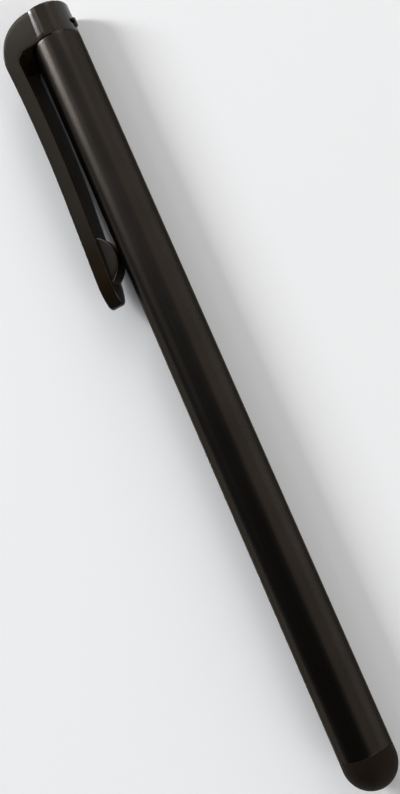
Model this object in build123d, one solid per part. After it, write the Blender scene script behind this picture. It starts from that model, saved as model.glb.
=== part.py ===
from build123d import *
import math
import os

# A passive stylus pen for touch screens, lying on its side: a plain metal tube with a rubber
# dome at one end and a moulded cap with a springy clip at the other.
# Sizes are in millimetres. The pieces are drawn along X from the cap's flat end at zero, with the
# tube's axis on X and the clip towards -Y, and are then set down on the surface the pen lies on.

# Barrel: a drawn tube with its cut ends eased
barrel_diameter = 7.0
barrel_wall = 0.5
barrel_length = 100.7
barrel_end_bevel = 0.12

# Cap: a head flush with the tube, and a hollow spigot pressed into it
cap_length = 4.7
cap_edge_round = 0.2
spigot_length = 8.0
spigot_wall = 0.9
spigot_lead = 0.5
press_gap = 0.02

# Strap eyelet on the cap's back: a round tunnel under a small proud bar
eyelet_from_seam = 1.6
eyelet_hole_diameter = 0.85
eyelet_hole_depth = 0.75
eyelet_bar_width = 0.7
eyelet_bar_length = 1.5
eyelet_bar_rise = 0.35
eyelet_bevel_share = 0.35

# Clip from the side: an arm of even thickness that follows one bowed line and flares at its tip
clip_length = 41.45
clip_thickness = 2.0
clip_corner_share = 0.805
clip_waist_from_top = 16.4
clip_waist_gap = 1.22
clip_bow_radius = 200.0
clip_flare_from_top = 27.0
clip_slot_round = 1.4
clip_edge_round = 0.25

# Clip from outside: nearly as wide as the tube at the cap, narrowing in a gentle curve to a lancet tip
clip_root_share = 0.963
clip_middle_share = 0.809
clip_shoulder_share = 0.588
clip_nose_length = 3.6
clip_tip_share = 0.08
clip_tip_round_share = 0.9

# Clip foot: a rounded ridge on the arm's inner face that presses on the tube
foot_from_top = 35.0
foot_length = 7.6
foot_width = 2.8
foot_edge_bevel = 0.5
foot_gap = 0.1

# The slab comes out of the round head at a crease, and starts this share of the way to it
slab_root_share = 0.8

# The arm bends as if it were hinged at this share of its free length
flex_share = 0.15

# Nib: a hollow rubber dome with a rim flush with the tube, and a neck inside the tube
nib_rim_length = 1.1
nib_wall = 0.8
nib_tip_wall = 1.2
nib_cone_share = 0.4
nib_neck_length = 6.0
nib_neck_wall = 1.2

# Nib core: a plug with a flange behind the neck and a head that holds the rubber from inside
core_flange_length = 1.0
core_head_length = 0.8
core_head_lip = 0.5
core_edge_bevel = 0.25

# How far cutting shapes run past what they cut
overrun = 1.0

# Sizes that follow from those above
barrel_radius = barrel_diameter / 2
bore_radius = barrel_radius - barrel_wall
press_radius = bore_radius - press_gap
barrel_end = cap_length + barrel_length
dome_centre = barrel_end + nib_rim_length
clip_root_width = clip_root_share * barrel_diameter
clip_middle_width = clip_middle_share * barrel_diameter
clip_shoulder_width = clip_shoulder_share * barrel_diameter
clip_tip_width = clip_tip_share * barrel_diameter
inner_bow_radius = clip_bow_radius + clip_thickness
bow_centre = Vector(clip_waist_from_top, -(barrel_radius + clip_waist_gap + inner_bow_radius))
foot_bottom_reach = barrel_radius + foot_gap
neck_bore = press_radius - nib_neck_wall
crease_reach = math.sqrt(barrel_radius ** 2 - (clip_root_width / 2) ** 2)
slab_start = slab_root_share * crease_reach
arm_root = cap_length + clip_slot_round
flex_from_top = arm_root + flex_share * (foot_from_top - arm_root)


def bow_angle(radius, from_top):
    """Angle on the bowed line of this radius, in degrees, at a distance from the cap's flat end."""
    return math.degrees(math.acos((from_top - clip_waist_from_top) / radius))


flare_angle = bow_angle(clip_bow_radius, clip_flare_from_top)


def along_pen(*points):
    """Closed outline of distances along and from the tube's axis, spun about that axis."""
    return revolve(make_face(Polyline(*points, close=True)), Axis.X)


def bowed_run(radius, start_from_top):
    """One face of the arm: a bow from a distance along the pen, then straight on past the tip."""
    start_angle = bow_angle(radius, start_from_top)
    bow = CenterArc(bow_centre, radius, start_angle, flare_angle - start_angle)
    run = (clip_length + overrun - (bow @ 1).X) / (bow % 1).X
    return bow, Line(bow @ 1, bow @ 1 + bow % 1 * run)


def arm_side(back_y):
    """Cap slab and arm seen from the side, back to a line: the corner and the slot's end are rounded."""
    outer_bow, outer_flare = bowed_run(clip_bow_radius, 0)
    inner_bow, inner_flare = bowed_run(inner_bow_radius, cap_length)
    past_tip = Line(outer_flare @ 1, inner_flare @ 1)
    back = Polyline(inner_bow @ 0, (cap_length, back_y), (0, back_y), outer_bow @ 0)
    side = make_face([outer_bow, outer_flare, past_tip, inner_flare, inner_bow, back])
    slab_reach = -(outer_bow @ 0).Y - slab_start
    rounds = (
        (outer_bow @ 0, clip_corner_share * slab_reach),
        (inner_bow @ 0, clip_slot_round),
    )
    for corner, radius in rounds:
        side = fillet(side.vertices().sort_by_distance(corner)[0], radius)
    return side


def arm_plan():
    """Cap slab and arm seen from outside: gentle curves from past the cap, and tighter ones to the tip."""
    stations = (-overrun, clip_length / 2, clip_length - clip_nose_length)
    half_widths = (clip_root_width / 2, clip_middle_width / 2, clip_shoulder_width / 2)
    edges = []
    for side in (-1, 1):
        gentle = ThreePointArc(*[(along, side * half) for along, half in zip(stations, half_widths)])
        nose = TangentArc(gentle @ 1, (clip_length, side * clip_tip_width / 2), tangent=gentle % 1)
        edges += [gentle, nose]
    ends = [Line(edges[0] @ 0, edges[2] @ 0), Line(edges[1] @ 1, edges[3] @ 1)]
    plan = make_face([*edges, *ends])
    tip_corners = plan.vertices().group_by(Axis.X)[-1]
    return Plane.XZ * fillet(tip_corners, clip_tip_round_share * clip_tip_width)


def make_foot():
    """Ridge with a round underside, sunk to the middle of the arm so that it grows out of it."""
    middle_radius = clip_bow_radius + clip_thickness / 2
    rise = math.sqrt(middle_radius ** 2 - (foot_from_top - clip_waist_from_top) ** 2)
    chord_y = bow_centre.Y + rise
    ends = [(foot_from_top + side * foot_length / 2, chord_y) for side in (-1, 1)]
    underside = ThreePointArc(ends[0], (foot_from_top, -foot_bottom_reach), ends[1])
    ridge = extrude(make_face([underside, Line(*ends)]), foot_width / 2, both=True)
    return chamfer(ridge.edges().filter_by(GeomType.CIRCLE), foot_edge_bevel)


def make_arm():
    """Slab and arm as one moulding: the side outline kept inside the plan, its outer edges rounded."""
    arm = extrude(arm_side(-slab_start), clip_root_width, both=True)
    arm &= extrude(arm_plan(), clip_length, both=True)
    start = arm.faces().filter_by(Axis.X).sort_by(Axis.X)[0]
    rim = start.edges().filter_by(Axis.Y)
    return fillet(rim, clip_edge_round) + make_foot()


def make_barrel():
    """Drawn tube, flush with the cap and with the nib's rim."""
    middle = Pos(cap_length + barrel_length / 2, 0, 0) * Rot(0, 90, 0)
    tube = middle * (Cylinder(barrel_radius, barrel_length) - Cylinder(bore_radius, barrel_length))
    return chamfer(tube.edges().filter_by(GeomType.CIRCLE), barrel_end_bevel)


def make_spigot():
    """Hollow spigot, tapered at the end that leads into the tube."""
    hollow_radius = press_radius - spigot_wall
    spigot_end = cap_length + spigot_length
    return along_pen(
        (cap_length, hollow_radius),
        (cap_length, press_radius),
        (spigot_end - spigot_lead, press_radius),
        (spigot_end, press_radius - spigot_lead),
        (spigot_end, hollow_radius),
    )


def make_eyelet_bar():
    """Bar over the eyelet's tunnel: a slot-shaped stud with a bevelled top, rooted in the cap."""
    root_depth = eyelet_bar_width / 2
    root = Pos(cap_length - eyelet_from_seam, barrel_radius - root_depth, 0) * Rot(-90, 0, 0)
    bar = extrude(root * SlotOverall(eyelet_bar_length, eyelet_bar_width), root_depth + eyelet_bar_rise)
    top = bar.faces().sort_by(Axis.Y)[-1]
    return chamfer(top.edges(), eyelet_bevel_share * eyelet_bar_width)


def eyelet_holes():
    """Two slanted holes that meet under the bar and come out beside it."""
    meeting = Pos(cap_length - eyelet_from_seam, barrel_radius - eyelet_hole_depth, 0)
    reach = 2 * eyelet_hole_depth + overrun
    up = (Align.CENTER, Align.CENTER, Align.MIN)
    hole = Cylinder(eyelet_hole_diameter / 2, reach, align=up)
    return [meeting * Rot(slant, 0, 0) * hole for slant in (-45, -135)]


def make_cap(slab):
    """Head, slab and spigot in one: the big corner rounds off the head too, opposite the eyelet."""
    head = Pos(cap_length / 2, 0, 0) * Rot(0, 90, 0) * Cylinder(barrel_radius, cap_length)
    head = fillet(head.edges().sort_by(Axis.X)[0], cap_edge_round)
    head &= extrude(arm_side(barrel_radius + overrun), barrel_diameter, both=True)
    return head + make_eyelet_bar() - eyelet_holes() + slab + make_spigot()


def make_nib():
    """Rubber dome, rim and neck, hollow for the core: a bore, then a wider space with a coned end."""
    cavity_radius = barrel_radius - nib_wall
    cavity_end = dome_centre + barrel_radius - nib_tip_wall
    neck_start = barrel_end - nib_neck_length
    dome = CenterArc((dome_centre, 0), barrel_radius, 0, 90)
    outside = Polyline(
        dome @ 1,
        (barrel_end, barrel_radius),
        (barrel_end, press_radius),
        (neck_start, press_radius),
        (neck_start, neck_bore),
        (barrel_end, neck_bore),
        (barrel_end, cavity_radius),
        (dome_centre, cavity_radius),
        (cavity_end, nib_cone_share * cavity_radius),
        (cavity_end, 0),
        dome @ 0,
    )
    return revolve(make_face([dome, outside]), Axis.X)


def make_nib_core():
    """Plug for the rubber neck, its stem just clear of the rubber."""
    neck_start = barrel_end - nib_neck_length
    flange_start = neck_start - core_flange_length
    head_end = barrel_end + core_head_length
    head_radius = neck_bore + core_head_lip
    stem_radius = neck_bore - press_gap
    core = along_pen(
        (flange_start, 0),
        (flange_start, press_radius),
        (neck_start, press_radius),
        (neck_start, stem_radius),
        (barrel_end, stem_radius),
        (barrel_end, head_radius),
        (head_end, head_radius),
        (head_end, 0),
    )
    circles = core.edges().filter_by(GeomType.CIRCLE)
    return chamfer([circles.sort_by(Axis.X)[0], circles.sort_by(Axis.X)[-1]], core_edge_bevel)


arm = make_arm()
flex_plane = Plane.YZ.offset(flex_from_top)
pieces = {
    "barrel": make_barrel(),
    "cap": make_cap(split(arm, flex_plane, Keep.BOTTOM)),
    "clip": split(arm, flex_plane, Keep.TOP),
    "nib": make_nib(),
    "nib_core": make_nib_core(),
}

# Set the pen down: middle of its box over the origin, tube resting on the surface
box = Compound(list(pieces.values())).bounding_box()
set_down = Pos(-box.center().X, -box.center().Y, -box.min.Z)
os.makedirs("parts", exist_ok=True)
for name, solid in pieces.items():
    export_step(set_down * solid, f"parts/{name}.step")
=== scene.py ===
import bmesh
import bpy
import numpy as np
from mathutils import Matrix, Vector


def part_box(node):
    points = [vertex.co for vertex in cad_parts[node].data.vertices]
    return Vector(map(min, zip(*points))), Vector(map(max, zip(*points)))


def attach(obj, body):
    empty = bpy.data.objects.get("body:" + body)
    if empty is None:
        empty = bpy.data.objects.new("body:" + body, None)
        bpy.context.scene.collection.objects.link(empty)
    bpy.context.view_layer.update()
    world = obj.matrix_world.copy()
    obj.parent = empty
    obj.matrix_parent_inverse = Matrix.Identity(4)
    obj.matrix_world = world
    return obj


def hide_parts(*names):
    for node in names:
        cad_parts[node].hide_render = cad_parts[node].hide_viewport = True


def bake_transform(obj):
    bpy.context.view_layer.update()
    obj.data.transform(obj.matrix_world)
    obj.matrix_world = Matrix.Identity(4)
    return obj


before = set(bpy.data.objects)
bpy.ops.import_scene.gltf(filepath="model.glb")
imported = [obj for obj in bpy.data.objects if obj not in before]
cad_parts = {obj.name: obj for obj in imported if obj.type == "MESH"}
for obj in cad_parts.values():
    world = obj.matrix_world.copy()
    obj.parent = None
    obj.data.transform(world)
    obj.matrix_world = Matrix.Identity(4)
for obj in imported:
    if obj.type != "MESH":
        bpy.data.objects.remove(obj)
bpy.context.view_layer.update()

# Barrel: one drawn aluminium tube, sawn to length, its cut ends eased with a small round.
# It is satin black anodised inside and out. The cap's spigot and the nib's neck are pressed into it.
mm = 0.001
tube_low, tube_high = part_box("barrel")
pen_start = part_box("cap")[0].x
axis_y = (tube_low.y + tube_high.y) / 2
axis_z = (tube_low.z + tube_high.z) / 2
tube_radius = (tube_high.z - tube_low.z) / 2 / mm
tube_start = (tube_low.x - pen_start) / mm
tube_end = (tube_high.x - pen_start) / mm
tube_wall = 0.5
tube_end_round = 0.08
tube_sides = 160
bore_radius = tube_radius - tube_wall


def in_place(along, reach, across):
    """Points in the shared frame from millimetres along the pen, out towards the clip and up from the
    tube's axis: along + start, axis - reach, axis + across."""
    along, reach, across = np.broadcast_arrays(along, reach, across)
    points = np.stack([along, -reach, across], -1) * mm
    return points + np.array([pen_start, axis_y, axis_z])


def quarter_round(centre, radius, start, steps):
    """Quarter circle in the profile plane, centre + radius * (cos, sin), on by 90 degrees from a start
    angle: one row of places along the pen and one of radii."""
    angle = np.radians(start + np.linspace(0, 90, steps + 1))
    return np.array(centre)[:, None] + radius * np.array([np.cos(angle), np.sin(angle)])


def grid_quads(rows, columns, rows_close, columns_close):
    """Four-sided faces between neighbours on a grid, whose last row or column may join the first."""
    row = np.arange(rows if rows_close else rows - 1)[:, None]
    column = np.arange(columns if columns_close else columns - 1)[None, :]
    after, beside = (row + 1) % rows, (column + 1) % columns
    pairs = [(row, column), (row, beside), (after, beside), (after, column)]
    return np.stack([down * columns + right for down, right in pairs], -1).reshape(-1, 4)


def turned(along, radius, sides, rows_close):
    """Lathe surface: every profile point (along, radius) is carried round the pen's axis by a full turn,
    to radius * cos and radius * sin of the turn."""
    turn = np.linspace(0, 2 * np.pi, sides, endpoint=False)
    reach = np.outer(radius, np.cos(turn))
    across = np.outer(radius, np.sin(turn))
    faces = grid_quads(len(along), sides, rows_close, columns_close=True)
    return along[:, None], reach, across, faces


def closed_piece(name, along, reach, across, faces, sharp_degrees):
    """Object from a grid of points: coinciding points are merged, open ends filled and faces turned
    outwards. It is shaded smooth, but for edges sharper than an angle."""
    same_point = 1e-8
    mesh = bpy.data.meshes.new(name)
    mesh.from_pydata(in_place(along, reach, across).reshape(-1, 3), [], faces.tolist())
    work = bmesh.new()
    work.from_mesh(mesh)
    bmesh.ops.remove_doubles(work, verts=work.verts, dist=same_point)
    bmesh.ops.holes_fill(work, edges=[edge for edge in work.edges if edge.is_boundary])
    bmesh.ops.recalc_face_normals(work, faces=work.faces)
    work.to_mesh(mesh)
    work.free()
    mesh.shade_smooth()
    mesh.set_sharp_from_angle(angle=np.radians(sharp_degrees))
    piece = bpy.data.objects.new(name, mesh)
    bpy.context.scene.collection.objects.link(piece)
    return piece


# Tube wall in section: along the outside, round both corners of the far end, and back along the bore
run_inset = 0.4
run_rings = 60
run = np.linspace(tube_start + run_inset, tube_end - run_inset, run_rings)
near, far = tube_start + tube_end_round, tube_end - tube_end_round
bore_edge, outer_edge = bore_radius + tube_end_round, tube_radius - tube_end_round
tube_section = np.hstack([
    quarter_round((near, outer_edge), tube_end_round, 90, steps=6)[:, ::-1],
    [run, np.full(run_rings, tube_radius)],
    quarter_round((far, outer_edge), tube_end_round, 0, steps=6)[:, ::-1],
    quarter_round((far, bore_edge), tube_end_round, 270, steps=6)[:, ::-1],
    [run[::-1], np.full(run_rings, bore_radius)],
    quarter_round((near, bore_edge), tube_end_round, 180, steps=6)[:, ::-1],
])
tube_surface = turned(*tube_section, tube_sides, rows_close=True)
barrel = closed_piece("barrel_tube", *tube_surface, sharp_degrees=30)


def linear(hex_colour):
    """Linear RGBA of an sRGB hex value: each channel to the power 2.4 above the short straight foot."""
    srgb = np.array([int(hex_colour[i:i + 2], 16) for i in (1, 3, 5)]) / 255
    rgb = np.where(srgb <= 0.04045, srgb / 12.92, ((srgb + 0.055) / 1.055) ** 2.4)
    return (*rgb.tolist(), 1.0)


def node(material, kind, sockets, **settings):
    """One node with its own settings. Each socket gets a plain value, or a link from another node's
    output."""
    made = material.node_tree.nodes.new(kind)
    for name, value in settings.items():
        setattr(made, name, value)
    for name, value in sockets.items():
        if isinstance(value, bpy.types.NodeSocket):
            material.node_tree.links.new(value, made.inputs[name])
        else:
            made.inputs[name].default_value = value
    return made


# Black anodised aluminium, satin: a dark metal that mirrors lamps as soft bands along the tube. Drawing
# leaves lines along it about 0.05 mm apart, drawn here 0.25 mm apart so that they show, and about 17 mm
# long. The dye takes in faint clouds about 7 mm across.
line_gap, line_run, cloud_size = 0.25, 16.67, 7.14
anodised = bpy.data.materials.new("black_anodised_aluminium")
anodised.use_nodes = True
shader = anodised.node_tree.nodes["Principled BSDF"]
place = node(anodised, "ShaderNodeTexCoord", {}).outputs["Object"]
drawn = node(anodised, "ShaderNodeMapping", {
    "Vector": place,
    "Scale": (1 / (line_run * mm), 1 / (line_gap * mm), 1 / (line_gap * mm)),
})
lines = node(anodised, "ShaderNodeTexNoise", {
    "Vector": drawn.outputs["Vector"],
    "Scale": 1.0,
    "Detail": 3.0,
})
clouds = node(anodised, "ShaderNodeTexNoise", {
    "Vector": place,
    "Scale": 1 / (cloud_size * mm),
    "Detail": 2.0,
})
dye = node(anodised, "ShaderNodeValToRGB", {"Fac": clouds.outputs["Fac"]})
dye.color_ramp.elements[0].position = 0.3
dye.color_ramp.elements[0].color = linear("#33302d")
dye.color_ramp.elements[1].position = 0.7
dye.color_ramp.elements[1].color = linear("#383431")
satin = node(anodised, "ShaderNodeMapRange", {
    "Value": lines.outputs["Fac"],
    "To Min": 0.24,
    "To Max": 0.32,
})
relief = node(anodised, "ShaderNodeBump", {
    "Height": lines.outputs["Fac"],
    "Strength": 0.04,
    "Distance": 0.02 * mm,
})
shader.inputs["Metallic"].default_value = 1.0
shader.inputs["Specular Tint"].default_value = linear("#b8b5b0")
anodised.node_tree.links.new(dye.outputs["Color"], shader.inputs["Base Color"])
anodised.node_tree.links.new(satin.outputs["Result"], shader.inputs["Roughness"])
anodised.node_tree.links.new(relief.outputs["Normal"], shader.inputs["Normal"])
barrel.data.materials.append(anodised)
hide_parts("barrel")
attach(barrel, "pen")

# Nib core: a small moulded plug inside the tube's end. Its flange and head keep the rubber in place.
# It is plain black plastic that shows only where the pen is taken apart, so its CAD shape stays.
# Polypropylene, moulded in a spark-eroded tool with grains of 0.2 mm: an even, dull black, finely rough.
core_grain = 0.2
core_plastic = bpy.data.materials.new("moulded_black_polypropylene")
core_plastic.use_nodes = True
shader = core_plastic.node_tree.nodes["Principled BSDF"]
place = node(core_plastic, "ShaderNodeTexCoord", {}).outputs["Object"]
grain = node(core_plastic, "ShaderNodeTexNoise", {
    "Vector": place,
    "Scale": 1 / (core_grain * mm),
    "Detail": 2.0,
})
tooth = node(core_plastic, "ShaderNodeBump", {
    "Height": grain.outputs["Fac"],
    "Strength": 0.3,
    "Distance": 0.02 * mm,
})
dull = node(core_plastic, "ShaderNodeMapRange", {
    "Value": grain.outputs["Fac"],
    "To Min": 0.45,
    "To Max": 0.6,
})
shader.inputs["Base Color"].default_value = linear("#1b1a19")
shader.inputs["IOR"].default_value = 1.49
core_plastic.node_tree.links.new(dull.outputs["Result"], shader.inputs["Roughness"])
core_plastic.node_tree.links.new(tooth.outputs["Normal"], shader.inputs["Normal"])
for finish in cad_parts["nib_core"].material_slots:
    finish.material = core_plastic

# Nib: a soft hollow dome of conductive silicone rubber, moulded in one with its rim and neck.
# The neck is pushed into the tube until the rim meets the tube's end, flush with it.
nib_rim = 1.1
nib_wall = 0.8
nib_tip_wall = 1.2
nib_neck = 6.0
nib_bore = 1.78
nib_corner = 0.1
hollow_end_share = 0.4
nib_sides = 96
rim_rings = 3
press_gap = 0.02
dome_centre = tube_end + nib_rim
neck_start = tube_end - nib_neck
neck_radius = bore_radius - press_gap
hollow_radius = tube_radius - nib_wall
hollow_end = dome_centre + tube_radius - nib_tip_wall
hollow_end_radius = hollow_end_share * hollow_radius

# Rubber in section: the dome from its tip, the rim and its corner, the neck, then forward again through
# the neck's bore and the dome's hollow
dome = np.radians(np.linspace(0, 90, 40))
rim_run = np.linspace(dome_centre, tube_end + nib_corner, rim_rings + 2)[1:-1]
nib_section = np.hstack([
    [dome_centre + tube_radius * np.cos(dome), tube_radius * np.sin(dome)],
    [rim_run, np.full(rim_rings, tube_radius)],
    quarter_round((tube_end + nib_corner, tube_radius - nib_corner), nib_corner, 90, steps=5),
    [[tube_end, neck_start, neck_start, tube_end], [neck_radius, neck_radius, nib_bore, nib_bore]],
    [[tube_end, dome_centre], [hollow_radius, hollow_radius]],
    [[hollow_end, hollow_end], [hollow_end_radius, 0.0]],
])
nib_surface = turned(*nib_section, nib_sides, rows_close=False)
nib = closed_piece("rubber_nib", *nib_surface, sharp_degrees=30)

# Conductive silicone rubber: carbon-filled, so an even brownish black with hardly any gloss. The mould's
# fine matt finish has grains of about 0.05 mm, drawn 0.15 mm wide so that they show. Handling leaves
# patches about 3 mm across that are a little smoother.
rubber_grain, patch_size = 0.1515, 2.857
rubber = bpy.data.materials.new("conductive_silicone_rubber")
rubber.use_nodes = True
shader = rubber.node_tree.nodes["Principled BSDF"]
place = node(rubber, "ShaderNodeTexCoord", {}).outputs["Object"]
grain = node(rubber, "ShaderNodeTexNoise", {
    "Vector": place,
    "Scale": 1 / (rubber_grain * mm),
    "Detail": 3.0,
})
handling = node(rubber, "ShaderNodeTexNoise", {
    "Vector": place,
    "Scale": 1 / (patch_size * mm),
    "Detail": 2.0,
})
carbon = node(rubber, "ShaderNodeValToRGB", {"Fac": handling.outputs["Fac"]})
carbon.color_ramp.elements[0].position = 0.3
carbon.color_ramp.elements[0].color = linear("#130b04")
carbon.color_ramp.elements[1].position = 0.7
carbon.color_ramp.elements[1].color = linear("#180f06")
matt = node(rubber, "ShaderNodeMapRange", {
    "Value": handling.outputs["Fac"],
    "To Min": 0.62,
    "To Max": 0.74,
})
tooth = node(rubber, "ShaderNodeBump", {
    "Height": grain.outputs["Fac"],
    "Strength": 0.15,
    "Distance": 0.02 * mm,
})
shader.inputs["IOR"].default_value = 1.41
shader.inputs["Specular IOR Level"].default_value = 0.15
rubber.node_tree.links.new(carbon.outputs["Color"], shader.inputs["Base Color"])
rubber.node_tree.links.new(matt.outputs["Result"], shader.inputs["Roughness"])
rubber.node_tree.links.new(tooth.outputs["Normal"], shader.inputs["Normal"])
nib.data.materials.append(rubber)
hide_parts("nib")
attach(nib, "pen")

# Cap and clip: one gloss black moulding. A round head, flush with the tube, grows a flat slab that turns
# through a big corner into a bowed spring arm with a round foot under its flared tip. The head carries a
# strap eyelet on its back, and a hollow spigot that is pressed into the tube.
head_length = 4.7
head_edge_round = 0.2
seam_round = 0.26
spigot_end = 12.7
spigot_hollow = 2.08
spigot_lead = 0.5
spigot_radius = bore_radius - press_gap
arm_length = 41.45
arm_thickness = 2.0
arm_edge_round = 0.25
arm_inner_edge_round = 0.15
arm_end_round = 0.45
bow_radius = 200.0
bow_along, bow_reach = 16.4, 206.72
flare_along = 27.0
corner_round = 5.344
slot_round = 1.4
slab_start = 0.7545
inner_radius = bow_radius + arm_thickness
flare = np.arcsin((flare_along - bow_along) / bow_radius)
moulding_sharp = 12

# Half of the moulding's width: a gentle curve through three widths as far as the shoulder, then a circle
# that runs on from it to the tip's corner, then a small round onto the blunt end
root_along, root_half = -1.0, 3.3705
waist_along, waist_half = 20.725, 2.8315
shoulder_along, shoulder_half = 37.85, 2.058
tip_half, tip_round = 0.28, 0.504
gentle = np.polynomial.Polynomial.fit(
    [root_along, waist_along, shoulder_along], [root_half, waist_half, shoulder_half], 2
)
shoulder_lean = np.arctan(gentle.deriv()(shoulder_along))
shoulder = np.array([shoulder_along, shoulder_half])
inwards = np.array([np.sin(shoulder_lean), -np.cos(shoulder_lean)])
to_tip = np.array([arm_length, tip_half]) - shoulder
nose_radius = to_tip @ to_tip / (2 * inwards @ to_tip)
nose_along, nose_half = shoulder + nose_radius * inwards
tip_along = arm_length - tip_round
tip_centre_half = nose_half + np.sqrt((nose_radius - tip_round) ** 2 - (tip_along - nose_along) ** 2)
nose_end = nose_along + (tip_along - nose_along) * nose_radius / (nose_radius - tip_round)


def half_width(along):
    """Half width at a place: the gentle curve as far as the shoulder, past it the nose's circle, and at
    the end the tip's circle, each circle as centre + root of (radius squared - distance squared)."""
    nose = nose_half + np.sqrt(np.clip(nose_radius ** 2 - (along - nose_along) ** 2, 0, None))
    end = tip_centre_half + np.sqrt(np.clip(tip_round ** 2 - (along - tip_along) ** 2, 0, None))
    return np.where(along < shoulder_along, gentle(along), np.where(along < nose_end, nose, end))


def arc(centre, radius, start, end, steps, side):
    """Circle between two angles in degrees, centre + radius * (cos, sin), as points and the normals that
    point out of the moulding there."""
    angle = np.radians(np.linspace(start, end, steps + 1))
    out = np.stack([np.cos(angle), np.sin(angle)], -1)
    return np.hstack([np.array(centre) + radius * out, side * out])


def straight(start, end, steps, normal):
    """Straight line of even steps, as points and the one normal that points out of the moulding all the
    way along."""
    points = np.linspace(start, end, steps + 1)
    return np.hstack([points, np.broadcast_to(normal, points.shape)])


def bowed(along, radius, side):
    """Face of the arm, as points and normals: a circle round the bow's centre as far as the flare, then
    straight on at the flare's lean."""
    lean = np.minimum(np.arcsin((along - bow_along) / radius), flare)
    beyond = along - bow_along - radius * np.sin(lean)
    reach = bow_reach - radius * np.cos(lean) + beyond * np.tan(lean)
    return np.stack([along, reach, -side * np.sin(lean), side * np.cos(lean)], -1)


def touching(along, radius):
    """Centre, at a place along the pen, of a round that runs smoothly into the bowed line, and its end
    angle: the centre lies on a circle of that radius round the bow's centre."""
    reach = bow_reach - np.sqrt(radius ** 2 - (along - bow_along) ** 2)
    return (along, reach), np.degrees(np.arctan2(bow_reach - reach, bow_along - along))


# Side outline: outer and inner line from the slab's root round the corner and the slot's end, then both
# along the arm on the same places, which draw closer together round the nose
arm_start = 9.0
corner_centre, corner_turn = touching(corner_round, bow_radius + corner_round)
slot_centre, slot_turn = touching(head_length + slot_round, inner_radius + slot_round)
corner = arc(corner_centre, corner_round, 180, corner_turn, steps=24, side=1)
slot_end = arc(slot_centre, slot_round, 180, slot_turn, steps=14, side=-1)
tip_angle = np.arcsin((nose_end - tip_along) / tip_round)
places = np.concatenate([
    np.linspace(arm_start, shoulder_along, 36),
    np.linspace(shoulder_along, nose_end, 13)[1:],
    tip_along + tip_round * np.sin(np.linspace(tip_angle, np.pi / 2, 8)[1:]),
])
slab_end = corner_centre[1]
outer = np.vstack([
    straight((0, slab_start), (0, slab_end), steps=5, normal=(-1, 0))[:-1],
    corner[:-1],
    bowed(np.linspace(corner[-1, 0], arm_start, 7)[:-1], bow_radius, side=1),
    bowed(places, bow_radius, side=1),
])
inner = np.vstack([
    straight((head_length, slab_start), (head_length, slab_end), steps=5, normal=(1, 0))[:-1],
    straight((head_length, slab_end), (head_length, slot_centre[1]), steps=10, normal=(1, 0))[:-1],
    slot_end[:-1],
    bowed(np.linspace(slot_end[-1, 0], arm_start, 7)[:-1], inner_radius, side=-1),
    bowed(places, inner_radius, side=-1),
])
# The arm's end is eased: over the last stretch each face sinks by a quarter circle towards the other
for face in (outer, inner):
    past = np.clip(face[:, :1] - (arm_length - arm_end_round), 0, arm_end_round)
    face[:, :2] -= face[:, 2:] * (arm_end_round - np.sqrt(arm_end_round ** 2 - past ** 2))
middle = (outer[:, :2] + inner[:, :2]) / 2


def carried_rib(points, normals, rim_round, inside):
    """Rib across the moulding at each outline point: from the middle line out over the side to the rim,
    round the rim by a quarter circle, straight across the face, and back the same way below. Its width
    follows the arm's, and its round is at most a share of that width."""
    widest_round = 0.8
    share = np.linspace(0, 1, 5)[None, :-1]
    turn = np.radians(np.linspace(0, 90, 11))[None, :]
    level = np.linspace(1, -1, 9)[None, 1:-1]
    rims = np.minimum(rim_round, widest_round * half_width(points[:, :1]))
    foot_of_rim = points - normals * rims
    inset = rims * (1 - np.sin(turn))
    along, reach = (
        np.hstack([
            inside[:, i:i + 1] + share * (foot_of_rim - inside)[:, i:i + 1],
            points[:, i:i + 1] - normals[:, i:i + 1] * inset,
        ])
        for i in (0, 1)
    )
    drop = np.hstack([np.zeros((len(points), share.size)), rims * (1 - np.cos(turn))])
    across = half_width(along) - drop
    wide = np.ones_like(level)
    return (
        np.hstack([along, points[:, :1] * wide, along[:, ::-1]]),
        np.hstack([reach, points[:, 1:] * wide, reach[:, ::-1]]),
        np.hstack([across, across[:, -1:] * level, -across[:, ::-1]]),
    )


outer_ribs = carried_rib(outer[:, :2], outer[:, 2:], arm_edge_round, middle)
inner_ribs = carried_rib(inner[:, :2], inner[:, 2:], arm_inner_edge_round, middle)
rib_faces = grid_quads(*outer_ribs[0].shape, rows_close=False, columns_close=False)
cap_clip = closed_piece(
    "cap_and_clip",
    *[np.vstack(pair) for pair in zip(outer_ribs, inner_ribs)],
    np.vstack([rib_faces, rib_faces + outer_ribs[0].size]),
    moulding_sharp,
)

# Head and spigot: a lathe surface, in section from the middle of its front over the rim and the seam to
# the spigot and into its hollow. On the slab's side its front follows the big corner, a hair inside it
head_rings = 6
front_rings = 8
sunk = 0.01
seam_along = head_length - sunk
head_run = np.linspace(head_edge_round, head_length - seam_round, head_rings + 2)[1:-1]
head_edge = tube_radius - head_edge_round
front_run = np.linspace(0, head_edge, front_rings + 1)[:-1]
head_section = np.hstack([
    [np.zeros(front_rings), front_run],
    quarter_round((head_edge_round, head_edge), head_edge_round, 90, steps=10)[:, ::-1],
    [head_run, np.full(head_rings, tube_radius)],
    quarter_round((seam_along - seam_round, tube_radius - seam_round), seam_round, 0, steps=6)[:, ::-1],
    [[seam_along, spigot_end - spigot_lead], [spigot_radius, spigot_radius]],
    [[spigot_end, spigot_end], [spigot_radius - spigot_lead, spigot_hollow]],
    [[head_length, head_length], [spigot_hollow, 0.0]],
])
head_along, head_reach, head_across, head_faces = turned(*head_section, tube_sides, rows_close=False)
over_corner = np.clip(head_reach - slab_end, 0, None)
corner_along = corner_round - np.sqrt(corner_round ** 2 - over_corner ** 2) + sunk
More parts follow.
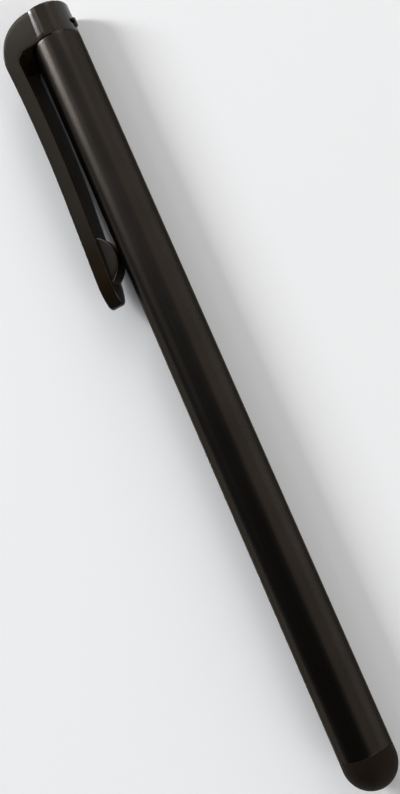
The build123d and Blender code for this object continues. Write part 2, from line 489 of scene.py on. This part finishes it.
head_along = np.where(over_corner > 0, np.maximum(head_along, corner_along), head_along)
head = closed_piece("head", head_along, head_reach, head_across, head_faces, moulding_sharp)

# Foot: a round ridge under the arm. Its circle shrinks towards both ends, where a quarter circle rounds
# it off. Its flat root and the middle of each end lie inside the arm
foot_along, foot_reach, foot_circle = 35.0, 7.513, 3.913
foot_half_width, foot_round = 1.4, 0.3
foot_root, foot_sweep = 5.8, 76
foot_flat = foot_half_width - foot_round
foot_turn = np.radians(np.linspace(-foot_sweep, foot_sweep, 41))[None, :]
end_turn = np.radians(np.linspace(0, 90, 10))
foot_middle = np.linspace(-foot_flat, foot_flat, 7)[1:-1]
foot_across = np.concatenate([
    -foot_flat - foot_round * np.cos(end_turn),
    foot_middle,
    foot_flat + foot_round * np.sin(end_turn),
])
foot_inset = np.concatenate([
    foot_round * (1 - np.sin(end_turn)),
    np.zeros_like(foot_middle),
    foot_round * (1 - np.cos(end_turn)),
])
ridge = (foot_circle - foot_inset)[:, None]
ridge_along = foot_along + ridge * np.sin(foot_turn)
ridge_reach = foot_reach - ridge * np.cos(foot_turn)
chord = np.linspace(1, 0, 12)[None, 1:-1]
root_run = ridge_along[:, :1] + chord * (ridge_along[:, -1:] - ridge_along[:, :1])
rows_along = np.hstack([ridge_along, root_run])
rows_reach = np.hstack([ridge_reach, np.repeat(ridge_reach[:, :1], chord.size, 1)])
foot = closed_piece(
    "foot",
    np.pad(rows_along, ((1, 1), (0, 0)), constant_values=foot_along),
    np.pad(rows_reach, ((1, 1), (0, 0)), constant_values=foot_root),
    np.pad(foot_across, 1, mode="edge")[:, None],
    grid_quads(len(foot_across) + 2, rows_along.shape[1], rows_close=False, columns_close=True),
    moulding_sharp,
)

# Strap eyelet: a slot-shaped bar on the head's back, rounded on top and rooted in the head, and two
# slanted holes that meet under it
eyelet_along, eyelet_depth = 3.1, 0.75
bar_half_length, bar_half_width, bar_rise, bar_root = 0.4, 0.35, 0.35, 0.35
bar_round = 0.28
bar_sides = 64
bar_turn = ((np.arange(bar_sides) + 0.5) * 2 * np.pi / bar_sides)[None, :]
bar_radius, bar_back = np.hstack([
    [[0.0, bar_half_width], [-bar_root, -bar_root]],
    quarter_round((bar_half_width - bar_round, bar_rise - bar_round), bar_round, 0, steps=10),
    [[0.0], [bar_rise]],
])[:, :, None]
bar_spread = np.where(bar_radius > 0, bar_half_length, 0.0)
bar = closed_piece(
    "eyelet_bar",
    eyelet_along + bar_spread * np.sign(np.cos(bar_turn)) + bar_radius * np.cos(bar_turn),
    -(tube_radius + bar_back),
    bar_radius * np.sin(bar_turn),
    grid_quads(len(bar_radius), bar_sides, rows_close=False, columns_close=True),
    moulding_sharp,
)
hole_size, hole_length, hole_sides = 0.425, 2.5, 48
hole_turn = np.linspace(0, 2 * np.pi, hole_sides, endpoint=False)[None, :]
hole_radius = np.array([0.0, hole_size, hole_size, 0.0])[:, None]
hole_run = np.array([0.0, 0.0, hole_length, hole_length])[:, None]
holes = []
for side in (1, -1):
    # Cylinder about a line that leans 45 degrees to one side: run along it, circle across it
    sideways = hole_radius * np.sin(hole_turn)
    out = (hole_run + sideways) * np.sqrt(0.5)
    over = (hole_run - sideways) * np.sqrt(0.5) * side
    holes.append(closed_piece(
        "eyelet_hole",
        eyelet_along + hole_radius * np.cos(hole_turn),
        -(tube_radius - eyelet_depth + out),
        over,
        grid_quads(len(hole_run), hole_sides, rows_close=False, columns_close=True),
        moulding_sharp,
    ))

# The shapes above are one moulding: joined and cut, then kept as one plain mesh
for operation, shapes in (("UNION", [head, foot, bar]), ("DIFFERENCE", holes)):
    for shape in shapes:
        step = cap_clip.modifiers.new(shape.name, "BOOLEAN")
        step.operation = operation
        step.solver = "EXACT"
        step.object = shape
solved = cap_clip.evaluated_get(bpy.context.evaluated_depsgraph_get())
moulding = bpy.data.meshes.new_from_object(solved)
cap_clip.modifiers.clear()
cap_clip.data = moulding
moulding.name = "cap_and_clip"
moulding.shade_smooth()
moulding.set_sharp_from_angle(angle=np.radians(moulding_sharp))
for shape in [head, foot, bar, *holes]:
    bpy.data.objects.remove(shape)

# ABS, injection moulded in a polished tool: a deep warm black with a clear gloss. Shrinkage leaves a
# faint waviness about 1.5 mm across, and handling leaves slightly duller patches about 4 mm across.
wave_size, handled_size = 1.54, 3.846
abs_plastic = bpy.data.materials.new("moulded_gloss_black_ABS")
abs_plastic.use_nodes = True
shader = abs_plastic.node_tree.nodes["Principled BSDF"]
place = node(abs_plastic, "ShaderNodeTexCoord", {}).outputs["Object"]
waves = node(abs_plastic, "ShaderNodeTexNoise", {
    "Vector": place,
    "Scale": 1 / (wave_size * mm),
    "Detail": 1.0,
})
patches = node(abs_plastic, "ShaderNodeTexNoise", {
    "Vector": place,
    "Scale": 1 / (handled_size * mm),
    "Detail": 4.0,
})
pigment = node(abs_plastic, "ShaderNodeValToRGB", {"Fac": patches.outputs["Fac"]})
pigment.color_ramp.elements[0].position = 0.3
pigment.color_ramp.elements[0].color = linear("#191207")
pigment.color_ramp.elements[1].position = 0.7
pigment.color_ramp.elements[1].color = linear("#1e160a")
gloss = node(abs_plastic, "ShaderNodeMapRange", {
    "Value": patches.outputs["Fac"],
    "To Min": 0.12,
    "To Max": 0.18,
})
relief = node(abs_plastic, "ShaderNodeBump", {
    "Height": waves.outputs["Fac"],
    "Strength": 0.05,
    "Distance": 0.05 * mm,
})
shader.inputs["IOR"].default_value = 1.52
shader.inputs["Specular IOR Level"].default_value = 0.38
abs_plastic.node_tree.links.new(pigment.outputs["Color"], shader.inputs["Base Color"])
abs_plastic.node_tree.links.new(gloss.outputs["Result"], shader.inputs["Roughness"])
abs_plastic.node_tree.links.new(relief.outputs["Normal"], shader.inputs["Normal"])
cap_clip.data.materials.clear()
cap_clip.data.materials.append(abs_plastic)
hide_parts("cap", "clip")
# Two places near the arm's root, just past the corner, where the arm would bend: worked out here but not
# used further
bend_places = np.array([6.5, 14.4])
bend_start, bend_end = in_place(bend_places, 0.0, 0.0)
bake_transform(cap_clip)

# Table: a plain sheet of white paper under the pen, two metres wide, with the pen's own soft shadow on
# it. Its white is a touch cool, which evens out the warm side panels.
table_half = 1.0
table_corners = table_half * np.array([(-1, -1, 0), (1, -1, 0), (1, 1, 0), (-1, 1, 0)])
table_mesh = bpy.data.meshes.new("white_table")
table_mesh.from_pydata(table_corners, [], [(0, 1, 2, 3)])
table = bpy.data.objects.new("white_table", table_mesh)
bpy.context.scene.collection.objects.link(table)
paper = bpy.data.materials.new("white_paper")
paper.use_nodes = True
shader = paper.node_tree.nodes["Principled BSDF"]
shader.inputs["Base Color"].default_value = linear("#f6f8fb")
shader.inputs["Roughness"].default_value = 0.9
shader.inputs["Specular IOR Level"].default_value = 0.0
table_mesh.materials.append(paper)


# Studio light: soft panels on stands round the table, in metres and watts. Two wide, slightly warm ones
# at the pen's back draw the broad sheen along the tube. On the clip's side a small bright one draws the
# tube's bright line and the glint on the cap's crease. Two big ones far beyond the ends light the table.
def facing(stand, aim, up):
    """Placement at a stand, looking at an aim: the back axis points away from the aim, the right axis is
    up across back, and the third axis is back across right."""
    back = (Vector(stand) - Vector(aim)).normalized()
    right = Vector(up).cross(back).normalized()
    return Matrix.Translation(stand) @ Matrix((right, back.cross(right), back)).transposed().to_4x4()


def panel(name, stand, aim, size, power, tint="#ffffff", up=(0, 0, 1)):
    """Rectangular lamp of a width, a height and a power, at a stand and facing an aim."""
    lamp = bpy.data.lights.new(name, "AREA")
    lamp.shape = "RECTANGLE"
    lamp.size, lamp.size_y = size
    lamp.energy = power
    lamp.color = linear(tint)[:3]
    holder = bpy.data.objects.new(name, lamp)
    holder.matrix_world = facing(stand, aim, up)
    bpy.context.scene.collection.objects.link(holder)


panel("side_panel_cap", (-0.825, 1.605, 1.066), (-0.825, -0.075, 0.136), (1.35, 1.85), 5.8, "#fff3e4")
panel("side_panel_nib", (0.675, 1.605, 1.066), (0.675, -0.075, 0.136), (1.65, 1.85), 4.9, "#fff3e4")
panel("top_panel", (-1.14, 0.15, 1.65), (-0.15, 0.09, 0.0), (1.68, 1.5), 3.9)
key_up = (0.0, 0.632, 0.775)
panel("key_panel", (-0.972, -0.975, 0.785), (-0.05, 0.0, 0.005), (0.2625, 0.6), 18.2, up=key_up)
panel("key_soft", (-1.19, -0.66, 1.28), (-1.19, 0.0, 0.0), (0.66, 0.66), 2.97, "#fff9f1")
panel("key_tail", (-0.48, -1.08, 0.96), (0.0, 0.0, 0.0), (0.54, 0.66), 0.3)
panel("low_fill", (-0.3, -1.86, 0.42), (-0.3, 0.0, 0.0), (3.6, 0.84), 0.6)
panel("cap_end_panel", (-3.24, 1.68, 1.41), (0.0, 0.0, 0.0), (2.22, 2.4), 68.4)
panel("nib_end_panel", (2.76, 1.8, 1.8), (0.0, 0.0, 0.0), (2.4, 2.1), 44.3)

# Studio walls: pale as far up as a soft edge 6 to 8 degrees above the table, given as the sines of these
# angles, where they are seen or mirrored. Their own light is faint and even: the panels do the lighting.
wall_edge_low, wall_edge_high = 0.1, 0.14
wall_white, wall_light = 0.8, 0.06
world = bpy.data.worlds.new("studio")
world.use_nodes = True
rays = node(world, "ShaderNodeLightPath", {}).outputs
mirrored = node(world, "ShaderNodeMath", {
    0: rays["Is Glossy Ray"],
    1: rays["Is Transmission Ray"],
}, operation="MAXIMUM")
seen = node(world, "ShaderNodeMath", {
    0: rays["Is Camera Ray"],
    1: mirrored.outputs["Value"],
}, operation="MAXIMUM")
heading = node(world, "ShaderNodeTexCoord", {}).outputs["Generated"]
rise = node(world, "ShaderNodeSeparateXYZ", {"Vector": heading}).outputs["Z"]
wall = node(world, "ShaderNodeMapRange", {
    "Value": rise,
    "From Min": wall_edge_low,
    "From Max": wall_edge_high,
    "To Min": wall_white,
    "To Max": 0.0,
})
strength = node(world, "ShaderNodeMath", {
    0: seen.outputs["Value"],
    1: wall.outputs["Result"],
    2: wall_light,
}, operation="MULTIPLY_ADD")
background = world.node_tree.nodes["Background"]
background.inputs["Color"].default_value = linear("#ffffff")
world.node_tree.links.new(strength.outputs["Value"], background.inputs["Strength"])
bpy.context.scene.world = world

# Camera: nearly overhead, close enough that the cap's end looks larger than the nib's
camera_stand = Vector((22.7, 36.4, 133.0)) * mm
camera_aim = Vector((2.021, 0.645, 3.484)) * mm
picture_up = (-0.9064, 0.4214, 0.0285)
camera = bpy.data.objects.new("camera", bpy.data.cameras.new("camera"))
bpy.context.scene.collection.objects.link(camera)
camera.matrix_world = facing(camera_stand, camera_aim, picture_up)
camera.data.lens = 47.67
camera.data.sensor_width = 36.0
camera.data.clip_start = 0.01
bpy.context.scene.camera = camera
bpy.context.scene.view_settings.view_transform = "Standard"
